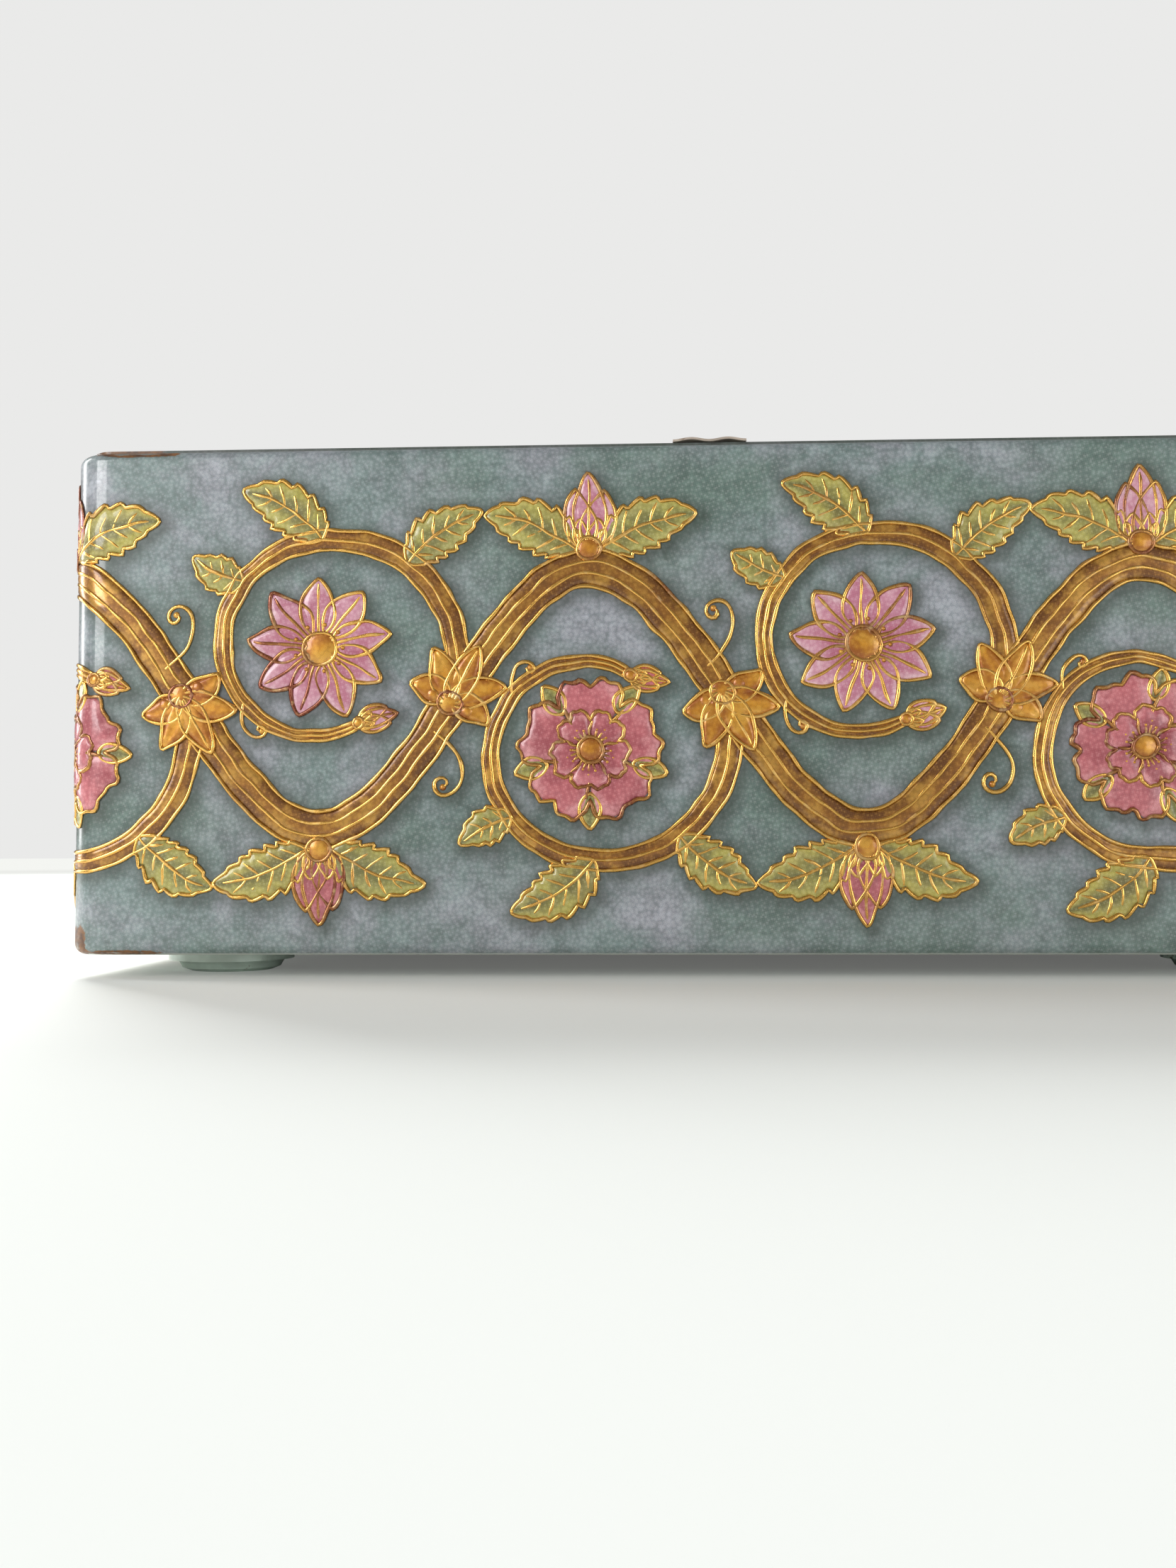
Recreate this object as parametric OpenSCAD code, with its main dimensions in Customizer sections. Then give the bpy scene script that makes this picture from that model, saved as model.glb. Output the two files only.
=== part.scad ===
// Tinplate lunch box: a straight-walled box with a wire-stiffened rolled rim, a drop-on lid hinged on
// that rim wire, a folding wire bail on the lid and four stamped feet.
// X runs along the length, the front faces -Y and +Z is up. The feet stand on z = 0.

/* [Box] */
// Length of the box outside
body_length = 180; // [140:1:240]
// Depth of the box outside, front to back
body_depth = 118; // [96:1:160]
// Height of the wall, from its bottom edge to the top of its rolled rim
body_height = 69; // [45:1:110]
// Radius of the four upright corners in plan
corner_radius = 5; // [4.5:0.5:8]
// Thickness of the tinplate
sheet = 0.5; // [0.4:0.05:0.6]

/* [Rim] */
// Diameter of the wire inside the rolled rim, on which the lid turns
rim_wire_diameter = 1.6; // [1.4:0.1:2.0]
// Running clearance all round the rim wire
rim_wire_clearance = 0.05; // [0.02:0.01:0.1]
// Width of each gap in the rolled rim where a hinge strap turns
hinge_gap_width = 14.6; // [12:0.1:18]
// Distance of each hinge strap's middle from the end of the box
hinge_inset = 34; // [20:1:50]
// Depth of each hinge gap below the middle of the rim wire
hinge_gap_drop = 2.6; // [2.4:0.1:4]

/* [Bottom] */
// Outside radius of the bend along the bottom edge of the wall
bottom_bend_radius = 1.5; // [1:0.1:2]
// Width of the hem that the wall folds under the base panel
bottom_hem = 3; // [2.5:0.1:4]
// Width of the lock seam inside the back wall
lock_seam_width = 4; // [3:0.5:6]
// Distance of the lock seam's middle from the right end of the box
lock_seam_inset = 18; // [10:1:60]
// Height of the flange that the base panel turns up inside the wall
base_flange = 2.2; // [1.6:0.1:4]
// Width of the raised border of the base panel, from the outside of the wall
base_border = 7; // [6:0.5:9]
// Distance from the wall's face to the recessed middle of the base panel
base_recess_inset = 32; // [30:1:40]
// Depth of the recess in the middle of the base panel
base_recess = 0.8; // [0.5:0.1:2]

/* [Feet] */
// Height of the feet
foot_height = 3.2; // [2.4:0.1:6]
// Radius of the upper disc of a foot
foot_radius = 9; // [8:0.5:10]
// Thickness of the upper disc of a foot
foot_disc = 1.6; // [1.2:0.1:2]
// Radius of a foot where its lower cup leaves the disc
foot_neck_radius = 7.8; // [7:0.1:7.9]
// Radius of the flat that a foot stands on
foot_tread_radius = 5.9; // [5:0.1:6.2]
// Distance of each foot's middle from the two faces beside it
foot_inset = 18; // [17:0.5:24]
// Radius of a foot rivet's shank
foot_rivet_radius = 1.2; // [1:0.1:1.6]

/* [Lid] */
// Distance of the lid's edge from the faces of the box
lid_inset = 2; // [1.6:0.1:2.4]
// Gap between the lid and the top of the rolled rim
lid_seat_gap = 0.1; // [0.05:0.05:0.2]
// Distance from the box's faces to the foot of the raised field
lid_field_inset = 11; // [10.5:0.5:16]
// Height of the raised field above the lid's border
lid_field_rise = 0.8; // [0.7:0.1:1.2]
// Width of the slope between the border and the raised field
lid_field_slope = 1.2; // [0.8:0.1:2]
// Thickness of the plain tin liner under the lid
liner_sheet = 0.4; // [0.3:0.05:0.5]
// Depth of the liner's flange, which drops inside the rim
liner_flange = 6; // [4:0.5:9]
// Gap between the liner's flange and the rolled rim
liner_clearance = 0.35; // [0.3:0.05:0.6]
// Radius of the curled edge of the liner's flange
liner_curl_radius = 0.5; // [0.4:0.05:0.7]
// Height of the four pressed bumps that steady the liner in the rim
liner_bump = 0.2; // [0.1:0.05:0.25]
// Radius of the bumps at their foot
liner_bump_radius = 1.4; // [1:0.1:2]
// Distance of the bumps from the middle of the lid's ends
liner_bump_offset = 30; // [10:1:36]

/* [Lift tab] */
// Distance of the lift tab's middle from the middle of the box
lift_tab_offset = -2; // [-40:1:40]
// Width of the lift tab
lift_tab_width = 10; // [8:0.5:24]
// Length of the tab's tongue on the lid's border
lift_tab_tongue = 5; // [4:0.5:7]
// Distance that the tab reaches past the lid's edge
lift_tab_reach = 0.6; // [0.4:0.1:1.9]
// Height of the two flutes pressed into the tab
lift_tab_flute = 0.3; // [0.2:0.05:0.8]
// Thickness of the lift tab
lift_tab_sheet = 0.3; // [0.25:0.05:0.5]

/* [Hinge straps] */
// Clearance at each end of a strap in its gap
strap_end_clearance = 0.3; // [0.2:0.05:0.6]
// Thickness of the hinge straps
strap_sheet = 0.45; // [0.4:0.05:0.5]
// Length of a strap's leaf on the lid, from the rim wire
strap_leaf = 8.2; // [7.4:0.1:8.2]
// Spacing of the two rivets in a hinge strap
strap_rivet_spacing = 8; // [6:0.5:9]

/* [Bail handle] */
// Diameter of the handle wire
handle_wire_diameter = 2.4; // [2:0.1:3]
// Width of the handle between the middles of its arms
handle_width = 84; // [70:1:90]
// Length of the handle's arms, from pivot to grip
handle_reach = 30; // [26:1:34]
// Bend radius at the handle's grip corners, to the middle of the wire
handle_bend_radius = 9; // [7:0.5:12]
// Bend radius at the handle's pivots, to the middle of the wire
handle_pivot_bend_radius = 3.5; // [3:0.5:5]
// Gap between the folded handle and the lid
handle_lift = 0.6; // [0.5:0.1:1.2]
// Running clearance around the handle's pivots
handle_clearance = 0.1; // [0.05:0.01:0.1]

/* [Ears] */
// Length of each ear along the pivot
ear_width = 8; // [6:0.5:10]
// Length of each ear across the pivot
ear_length = 16; // [14:0.5:20]
// Thickness of the ears
ear_sheet = 0.8; // [0.6:0.1:1]
// Gap between an ear and the bend of the handle
ear_gap = 0.5; // [0.3:0.1:1]
// Radius of a small rivet's shank
rivet_radius = 0.7; // [0.5:0.1:0.8]

/* [Hidden] */
$fn = 64;

wire_radius = rim_wire_diameter / 2;
wire_bore_radius = wire_radius + rim_wire_clearance;
roll_radius = wire_bore_radius + sheet;
body_bottom = foot_height;
rim_axis_z = body_bottom + body_height - roll_radius;
rim_axis_y = body_depth / 2 - roll_radius;
rim_top = body_bottom + body_height;
roll_inner_inset = 2 * roll_radius;
overcut = 1;
hinge_x = body_length / 2 - hinge_inset;

seam_gap = 0.02;
base_sheet = sheet;

lid_bottom = rim_top + lid_seat_gap;
lid_border_top = lid_bottom + sheet;
lid_field_top = lid_border_top + lid_field_rise;
lid_back_gap = 0.3;
lid_length = body_length - 2 * lid_inset;
lid_front = -body_depth / 2 + lid_inset;
lid_back = rim_axis_y - lid_back_gap;
lid_depth = lid_back - lid_front;
lid_middle_y = (lid_back + lid_front) / 2;
lid_radius = corner_radius - lid_inset;
field_length = body_length - 2 * lid_field_inset;
field_depth = body_depth - 2 * lid_field_inset;
field_radius = 6;
liner_inset = roll_inner_inset + liner_clearance;
liner_length = body_length - 2 * liner_inset;
liner_depth = body_depth - 2 * liner_inset;
liner_radius = max(corner_radius - liner_inset, 3 * liner_curl_radius);
curl_sides = 12;

strap_width = hinge_gap_width - 2 * strap_end_clearance;
strap_barrel_radius = wire_bore_radius + strap_sheet;
small_head_radius = rivet_radius + 0.6;
small_head = 0.5;
strap_rivet_y = rim_axis_y - strap_leaf + small_head_radius + 0.6;

handle_radius = handle_wire_diameter / 2;
handle_axis_z = lid_field_top + handle_lift + handle_radius;
ear_bore_radius = handle_radius + handle_clearance;
ear_hump_radius = ear_bore_radius + ear_sheet;
ear_outer_x = handle_width / 2 - handle_pivot_bend_radius - ear_gap;
ear_inner_x = ear_outer_x - ear_width;
ear_rivet_y = (ear_length / 2 + ear_hump_radius) / 2;
ear_rivet_x = (ear_outer_x + ear_inner_x) / 2;
handle_head = 0.8 * handle_radius;
handle_head_radius = 1.4 * handle_radius;
washer_sheet = 0.4;
washer_radius = 2;
washer_gap = 0.05;
washer_room = lid_field_rise - washer_gap - washer_sheet - 2 * seam_gap;

foot_x = body_length / 2 - foot_inset;
foot_y = body_depth / 2 - foot_inset;
foot_sheet = 0.5;
foot_head_radius = foot_rivet_radius + 1;
foot_head = 0.5;
foot_recess = foot_head + 0.1;
foot_recess_radius = foot_head_radius + 0.3;

// A solid rounded rectangle, drawn about the middle
module rounded_block(length, depth, radius, height) {
  linear_extrude(height) {
    square([length - 2 * radius, depth], center = true);
    square([length, depth - 2 * radius], center = true);
    for (x = [-1, 1], y = [-1, 1])
      translate([x * (length / 2 - radius), y * (depth / 2 - radius)]) circle(radius);
  }
}

// Carries a profile round a rounded rectangle: its +X points outwards and its +Y points up
module frame_sweep(length, depth, radius) {
  straight_x = length - 2 * radius;
  straight_y = depth - 2 * radius;
  for (turn = [0, 180]) rotate(turn) {
    translate([-straight_x / 2, depth / 2, 0]) rotate([90, 0, 90]) linear_extrude(straight_x) children();
    translate([length / 2, straight_y / 2, 0]) rotate([90, 0, 0]) linear_extrude(straight_y) children();
    translate([straight_x / 2, straight_y / 2, 0])
      rotate_extrude(angle = 90) translate([radius, 0]) children();
    translate([-straight_x / 2, straight_y / 2, 0]) rotate(90)
      rotate_extrude(angle = 90) translate([radius, 0]) children();
  }
}

// Cross-section of the wall: hem, bottom bend, flat side and rolled rim, with its face at x = 0
module wall_profile() {
  translate([-bottom_hem, 0]) square([bottom_hem - bottom_bend_radius, sheet]);
  intersection() {
    translate([-bottom_bend_radius, bottom_bend_radius]) difference() {
      circle(bottom_bend_radius);
      circle(bottom_bend_radius - sheet);
    }
    translate([-bottom_bend_radius, 0]) square(bottom_bend_radius);
  }
  translate([-sheet, bottom_bend_radius])
    square([sheet, body_height - roll_radius - bottom_bend_radius]);
  translate([-roll_radius, body_height - roll_radius]) difference() {
    circle(roll_radius);
    circle(wire_bore_radius);
  }
}

// The wall is one sheet, rolled at the top, hemmed at the bottom and lock-seamed inside the back
module body_wall() color([0.50, 0.58, 0.57]) {
  seam_bottom = body_bottom + bottom_bend_radius + base_flange;
  difference() {
    translate([0, 0, body_bottom]) frame_sweep(body_length, body_depth, corner_radius) wall_profile();
    for (side = [-1, 1])
      translate([side * hinge_x - hinge_gap_width / 2, body_depth / 2 - roll_inner_inset - overcut,
                 rim_axis_z - hinge_gap_drop])
        cube([hinge_gap_width, roll_inner_inset + 2 * overcut, hinge_gap_drop + roll_radius + overcut]);
  }
  translate([body_length / 2 - lock_seam_inset - lock_seam_width / 2, body_depth / 2 - 2 * sheet, seam_bottom])
    cube([lock_seam_width, 1.5 * sheet, rim_axis_z - roll_radius - sheet - seam_bottom]);
}

// Steel wire that runs all round inside the rolled rim and shows only in the hinge gaps
module rim_wire() color([0.62, 0.60, 0.56])
  translate([0, 0, rim_axis_z]) frame_sweep(body_length, body_depth, corner_radius)
    translate([-roll_radius, 0]) circle(wire_radius);

// Pressed pan that drops inside the wall: flange, border on the hem, field flush with the hem
module base_panel() color([0.47, 0.54, 0.53]) {
  pan_length = body_length - 2 * (sheet + seam_gap);
  pan_depth = body_depth - 2 * (sheet + seam_gap);
  pan_radius = corner_radius - sheet - seam_gap;
  border_bottom = body_bottom + sheet + seam_gap;
  floor_length = body_length - 2 * base_border;
  floor_depth = body_depth - 2 * base_border;
  recess_length = body_length - 2 * base_recess_inset;
  recess_depth = body_depth - 2 * base_recess_inset;
  difference() {
    union() {
      translate([0, 0, border_bottom])
        frame_sweep(pan_length, pan_depth, pan_radius)
          translate([-base_sheet, bottom_bend_radius - sheet]) square([base_sheet, base_flange]);
      translate([0, 0, border_bottom + bottom_bend_radius - sheet])
        rounded_block(pan_length, pan_depth, pan_radius, base_sheet);
      translate([0, 0, body_bottom])
        rounded_block(floor_length, floor_depth, corner_radius,
                      bottom_bend_radius + seam_gap + base_sheet);
    }
    translate([0, 0, body_bottom + base_sheet])
      rounded_block(floor_length - 2 * base_sheet, floor_depth - 2 * base_sheet,
                    corner_radius - base_sheet, body_height);
    translate([0, 0, body_bottom - overcut])
      rounded_block(recess_length, recess_depth, corner_radius, overcut + base_recess);
    foot_rivet_places() translate([0, 0, body_bottom - overcut])
      cylinder(r = foot_rivet_radius + seam_gap, h = 3 * overcut);
  }
  difference() {
    translate([0, 0, body_bottom])
      rounded_block(recess_length + 2 * base_sheet, recess_depth + 2 * base_sheet,
                    corner_radius + base_sheet, base_recess + base_sheet);
    translate([0, 0, body_bottom - overcut])
      rounded_block(recess_length, recess_depth, corner_radius, overcut + base_recess);
  }
}

module foot_rivet_places()
  for (x = [-1, 1], y = [-1, 1]) translate([x * foot_x, y * foot_y, 0]) children();

// Stamped two-step dish, hollow under the base panel
module foot(x, y) color([0.47, 0.54, 0.53]) {
  cup = foot_height - foot_disc;
  shoulder_radius = (foot_neck_radius + foot_tread_radius) / 2 + 0.2;
  translate([x * foot_x, y * foot_y, 0]) rotate_extrude()
    polygon([[foot_rivet_radius + seam_gap, foot_recess], [foot_recess_radius, foot_recess],
             [foot_recess_radius, 0], [foot_tread_radius, 0],
             [shoulder_radius, 0.28 * cup], [foot_neck_radius - 0.35, 0.72 * cup],
             [foot_neck_radius, cup], [foot_radius, cup], [foot_radius, foot_height],
             [foot_radius - foot_sheet, foot_height], [foot_radius - foot_sheet, cup + foot_sheet],
             [foot_neck_radius - foot_sheet, cup + foot_sheet],
             [shoulder_radius - foot_sheet, 0.28 * cup + foot_sheet],
             [foot_tread_radius - foot_sheet, foot_sheet],
             [foot_recess_radius + foot_sheet, foot_sheet],
             [foot_recess_radius + foot_sheet, foot_recess + foot_sheet],
             [foot_rivet_radius + seam_gap, foot_recess + foot_sheet]]);
}

// A domed rivet that points down from z = 0: its head is above and its clenched tail below
module rivet(head_radius, head, shank_radius, grip, tail) {
  rotate_extrude()
    polygon([[0, head], [0.55 * head_radius, 0.9 * head], [head_radius, 0.35 * head],
             [head_radius, 0], [shank_radius, 0], [shank_radius, -grip],
             [0.9 * head_radius, -grip], [0.7 * head_radius, -grip - tail], [0, -grip - tail]]);
}

module foot_rivets() color([0.66, 0.64, 0.60])
  foot_rivet_places() translate([0, 0, body_bottom + base_sheet])
    rivet(foot_head_radius, foot_head, foot_rivet_radius, base_sheet + foot_height - foot_recess,
          foot_head);

// Pressed lid sheet: flat border, sloping step and raised field
module lid_panel() color([0.50, 0.58, 0.57]) difference() {
  union() {
    translate([0, lid_middle_y, lid_bottom]) rounded_block(lid_length, lid_depth, lid_radius, sheet);
    translate([0, 0, lid_bottom]) frame_sweep(field_length, field_depth, field_radius)
      polygon([[0, 0], [0, sheet], [-lid_field_slope, sheet + lid_field_rise],
               [-lid_field_slope - sheet, sheet + lid_field_rise],
               [-lid_field_slope - sheet, lid_field_rise], [-2 * sheet, 0]]);
    translate([0, 0, lid_bottom + lid_field_rise])
      rounded_block(field_length - 2 * lid_field_slope, field_depth - 2 * lid_field_slope,
                    field_radius - lid_field_slope, sheet);
  }
  translate([0, 0, lid_bottom - overcut])
    rounded_block(field_length - 2 * lid_field_slope - 2 * sheet,
                  field_depth - 2 * lid_field_slope - 2 * sheet,
                  field_radius - lid_field_slope - sheet, overcut + lid_field_rise);
  strap_rivet_places() translate([0, 0, lid_bottom - overcut])
    cylinder(r = rivet_radius + seam_gap, h = 3 * overcut);
  ear_rivet_places() translate([0, 0, lid_bottom])
    cylinder(r = rivet_radius + seam_gap, h = 3 * overcut);
}

// Plain inner lid whose flange drops inside the rolled rim
module lid_liner() color([0.72, 0.71, 0.67]) {
  plate_bottom = lid_bottom - seam_gap - liner_sheet;
  flange_bottom = plate_bottom - liner_flange + liner_curl_radius;
  difference() {
    translate([0, 0, plate_bottom])
      rounded_block(liner_length - liner_sheet, liner_depth - liner_sheet,
                    liner_radius - liner_sheet / 2, liner_sheet);
    strap_rivet_places() translate([0, 0, plate_bottom - overcut])
      cylinder(r = rivet_radius + seam_gap, h = 3 * overcut);
  }
  frame_sweep(liner_length, liner_depth, liner_radius) {
    translate([-liner_sheet, flange_bottom])
      square([liner_sheet, plate_bottom + liner_sheet - flange_bottom]);
    translate([-liner_curl_radius * cos(180 / curl_sides), flange_bottom])
      rotate(180 / curl_sides) circle(liner_curl_radius, $fn = curl_sides);
  }
  for (x = [-1, 1], y = [-1, 1])
    translate([x * (liner_length / 2 - liner_sheet), y * liner_bump_offset,
               rim_axis_z - roll_radius - 0.7 * liner_bump_radius])
      rotate([0, x * 90, 0])
        cylinder(r1 = liner_bump_radius, r2 = 0.6 * liner_bump_radius, h = liner_sheet + liner_bump);
}

// Fluted thumb tab, soldered to the front border of the lid
function flute(t) = lift_tab_flute * pow(sin(180 * 2 * t), 2);
module lift_tab() color([0.60, 0.52, 0.46]) {
  steps = 32;
  tab_front = lid_front - lift_tab_reach;
  under = [for (i = [0 : steps]) [lift_tab_width * (i / steps - 0.5), flute(i / steps)]];
  over = [for (i = [steps : -1 : 0]) [lift_tab_width * (i / steps - 0.5), flute(i / steps) + lift_tab_sheet]];
  translate([lift_tab_offset, tab_front + lift_tab_reach + lift_tab_tongue, lid_border_top + seam_gap])
    rotate([90, 0, 0]) linear_extrude(lift_tab_reach + lift_tab_tongue) polygon(concat(under, over));
}

module strap_rivet_places()
  for (side = [-1, 1], step = [-1, 1])
    translate([side * hinge_x + step * strap_rivet_spacing / 2, strap_rivet_y, 0]) children();

// Strap that curls round the rim wire, rises behind the lid's edge and lies on the lid's border
module hinge_strap(side) color([0.66, 0.64, 0.60]) {
  leaf_bottom = lid_border_top + seam_gap;
  translate([side * hinge_x - strap_width / 2, 0, 0]) difference() {
    union() {
      translate([0, rim_axis_y, rim_axis_z]) rotate([0, 90, 0])
        cylinder(r = strap_barrel_radius, h = strap_width);
      translate([0, rim_axis_y + wire_bore_radius, rim_axis_z])
        cube([strap_width, strap_sheet, leaf_bottom + strap_sheet - rim_axis_z]);
      translate([0, rim_axis_y - strap_leaf, leaf_bottom])
        cube([strap_width, strap_leaf + wire_bore_radius + strap_sheet, strap_sheet]);
    }
    translate([-overcut, rim_axis_y, rim_axis_z]) rotate([0, 90, 0])
      cylinder(r = wire_bore_radius, h = strap_width + 2 * overcut);
    for (step = [-1, 1])
      translate([strap_width / 2 + step * strap_rivet_spacing / 2, strap_rivet_y, leaf_bottom - overcut])
        cylinder(r = rivet_radius + seam_gap, h = 3 * overcut);
  }
}

module hinge_rivets() color([0.66, 0.64, 0.60])
  strap_rivet_places() translate([0, 0, lid_border_top + seam_gap + strap_sheet])
    rivet(small_head_radius, small_head, rivet_radius,
          strap_sheet + sheet + liner_sheet + 2 * seam_gap, small_head);

module ear_rivet_places()
  for (x = [-1, 1], y = [-1, 1]) translate([x * ear_rivet_x, y * ear_rivet_y, 0]) children();

// Saddle that holds one pivot of the handle down on the lid
module ear(side) color([0.66, 0.64, 0.60])
  translate([side * ear_rivet_x, 0, lid_field_top]) difference() {
    union() {
      translate([-ear_width / 2, -ear_length / 2, 0]) cube([ear_width, ear_length, ear_sheet]);
      translate([-ear_width / 2, -ear_hump_radius, 0])
        cube([ear_width, 2 * ear_hump_radius, handle_lift + handle_radius]);
      translate([-ear_width / 2, 0, handle_lift + handle_radius]) rotate([0, 90, 0])
        cylinder(r = ear_hump_radius, h = ear_width);
    }
    translate([-ear_width / 2 - overcut, 0, handle_lift + handle_radius]) rotate([0, 90, 0])
      cylinder(r = ear_bore_radius, h = ear_width + 2 * overcut);
    translate([-ear_width / 2 - overcut, -ear_bore_radius, -overcut])
      cube([ear_width + 2 * overcut, 2 * ear_bore_radius, overcut + handle_lift + handle_radius]);
    translate([-ear_width, -ear_length, -2 * ear_length]) cube([2 * ear_width, 2 * ear_length, 2 * ear_length]);
    for (y = [-1, 1]) translate([0, y * ear_rivet_y, -overcut])
      cylinder(r = rivet_radius + seam_gap, h = 3 * overcut);
  }

module ear_rivets() color([0.66, 0.64, 0.60])
  ear_rivet_places() translate([0, 0, lid_field_top + ear_sheet])
    rivet(small_head_radius, small_head, rivet_radius,
          ear_sheet + sheet + washer_gap + washer_sheet, washer_room);

module ear_washers() color([0.62, 0.60, 0.56])
  ear_rivet_places() translate([0, 0, lid_field_top - sheet - washer_gap - washer_sheet]) difference() {
    cylinder(r = washer_radius, h = washer_sheet);
    translate([0, 0, -overcut]) cylinder(r = rivet_radius + seam_gap, h = 3 * overcut);
  }

// One bent wire: upset ends turned in through the ears, two arms and a straight grip
module bail_handle() color([0.55, 0.53, 0.50])
  translate([0, 0, handle_axis_z]) {
    half = handle_width / 2;
    pivot_x = half - handle_pivot_bend_radius;
    grip_x = half - handle_bend_radius;
    arm = handle_reach - handle_bend_radius - handle_pivot_bend_radius;
    for (side = [0, 1]) mirror([side, 0, 0]) {
      translate([ear_inner_x - ear_gap - handle_head, 0, 0]) rotate([0, 90, 0])
        cylinder(r = handle_head_radius, h = handle_head);
      translate([ear_inner_x - ear_gap - handle_head, 0, 0]) rotate([0, 90, 0])
        cylinder(r = handle_radius, h = pivot_x - ear_inner_x + ear_gap + handle_head);
      translate([pivot_x, handle_pivot_bend_radius, 0]) rotate(-90)
        rotate_extrude(angle = 90) translate([handle_pivot_bend_radius, 0]) circle(handle_radius, $fn = 32);
      translate([half, handle_pivot_bend_radius, 0]) rotate([-90, 0, 0])
        cylinder(r = handle_radius, h = arm, $fn = 32);
      translate([grip_x, handle_reach - handle_bend_radius, 0])
        rotate_extrude(angle = 90) translate([handle_bend_radius, 0]) circle(handle_radius, $fn = 32);
    }
    translate([-grip_x, handle_reach, 0]) rotate([0, 90, 0])
      cylinder(r = handle_radius, h = 2 * grip_x, $fn = 32);
  }

body_wall();
rim_wire();
base_panel();
foot(-1, -1);  // foot_front_left
foot(1, -1);  // foot_front_right
foot(-1, 1);  // foot_rear_left
foot(1, 1);  // foot_rear_right
foot_rivets();
lid_panel();
lid_liner();
lift_tab();
hinge_strap(-1);  // hinge_strap_left
hinge_strap(1);  // hinge_strap_right
hinge_rivets();
ear(-1);  // ear_left
ear(1);  // ear_right
ear_rivets();
ear_washers();
bail_handle();
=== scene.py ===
"""Dresses the metal lunch box: its printed and embossed walls, its lid and its fittings."""

import random
from collections import namedtuple
from functools import cache, cached_property
from math import atan2, cos, dist, exp, hypot, pi, radians, sin, sqrt, tau

import bmesh
import bpy
from bpy.props import FloatProperty, FloatVectorProperty, PointerProperty
from mathutils import Matrix, Vector, kdtree, noise


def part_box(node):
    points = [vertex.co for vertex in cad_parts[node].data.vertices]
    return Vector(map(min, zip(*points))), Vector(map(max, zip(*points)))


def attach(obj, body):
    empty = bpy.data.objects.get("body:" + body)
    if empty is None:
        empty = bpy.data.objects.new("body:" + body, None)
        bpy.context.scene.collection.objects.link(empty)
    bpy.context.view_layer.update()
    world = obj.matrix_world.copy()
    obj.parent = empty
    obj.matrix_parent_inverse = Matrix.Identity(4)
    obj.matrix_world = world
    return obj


bl_info = {
    "name": "Printed lunch box",
    "version": (1, 0, 0),
    "blender": (4, 5, 0),
    "location": "View3D > Sidebar > Lunch Box",
    "description": "Prints, embosses and finishes a small tinplate lunch box",
    "category": "Object",
}

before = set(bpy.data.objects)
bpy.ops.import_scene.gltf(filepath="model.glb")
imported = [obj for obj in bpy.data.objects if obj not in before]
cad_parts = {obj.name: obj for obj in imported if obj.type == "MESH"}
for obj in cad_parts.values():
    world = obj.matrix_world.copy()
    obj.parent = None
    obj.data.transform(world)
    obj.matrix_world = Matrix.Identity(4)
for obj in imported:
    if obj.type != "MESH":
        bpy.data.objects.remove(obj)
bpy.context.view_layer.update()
MM = 0.001
PARTS = ("reach", "middle", "chance")           # what an ink is told of its place on a patch
QUARTERS = ((1, 1), (-1, 1), (-1, -1), (1, -1))


def srgb(red, green, blue):
    """A colour given in 0 to 255, as the linear values that shaders take."""
    def linear(level):
        level /= 255
        return level / 12.92 if level < 0.04045 else ((level + 0.055) / 1.055) ** 2.4
    return linear(red), linear(green), linear(blue)


def length_of(name, description, millimetres):
    """A size in the panel, given in millimetres and kept in metres."""
    return FloatProperty(name=name, description=description, default=millimetres * MM,
                         min=0, precision=5, unit="LENGTH")


def angle_of(name, description, degrees):
    """An angle in the panel, given in degrees."""
    return FloatProperty(name=name, description=description, default=radians(degrees), subtype="ANGLE")


def power_of(name, description, watts):
    """A lamp's power in the panel."""
    return FloatProperty(name=name, description=description, default=watts, unit="POWER")


def colour_of(name, description, *levels):
    """A colour in the panel, given in 0 to 255."""
    return FloatVectorProperty(name=name, description=description, default=srgb(*levels),
                               size=3, min=0, max=1, subtype="COLOR")


# --- properties

class LunchBoxSizes(bpy.types.PropertyGroup):
    """Sizes of the printed wall that the artwork is wrapped on, and of its relief."""
    corner: length_of("Corner radius", "Radius of the box's upright corners", 5)
    bottom_bend: length_of("Bottom bend", "Radius where the wall turns under the box", 1.5)
    roll: length_of("Rim roll", "Outer radius of the rolled rim", 1.35)
    print_height: length_of("Print height", "How far the printed skin stands off the sheet", 0.03)
    outline: length_of("Outline", "Radius of the raised gold outlines", 0.28)
    emboss: length_of("Embossing", "Height of the petals and leaves at their crowns", 0.24)
    scroll_width: length_of("Scroll width", "Width of the main scroll", 4.8)
    rose_radius: length_of("Rose radius", "Radius of the open roses", 9.8)
    hinge_gap: length_of("Hinge gap", "Width of the gaps in the rim that the straps go through", 14.6)
    hinge_place: length_of("Hinge place", "Distance of each strap from the middle", 56)
    hinge_cut: length_of("Hinge cut", "Height above the table where the gaps start", 68.25)


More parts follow.
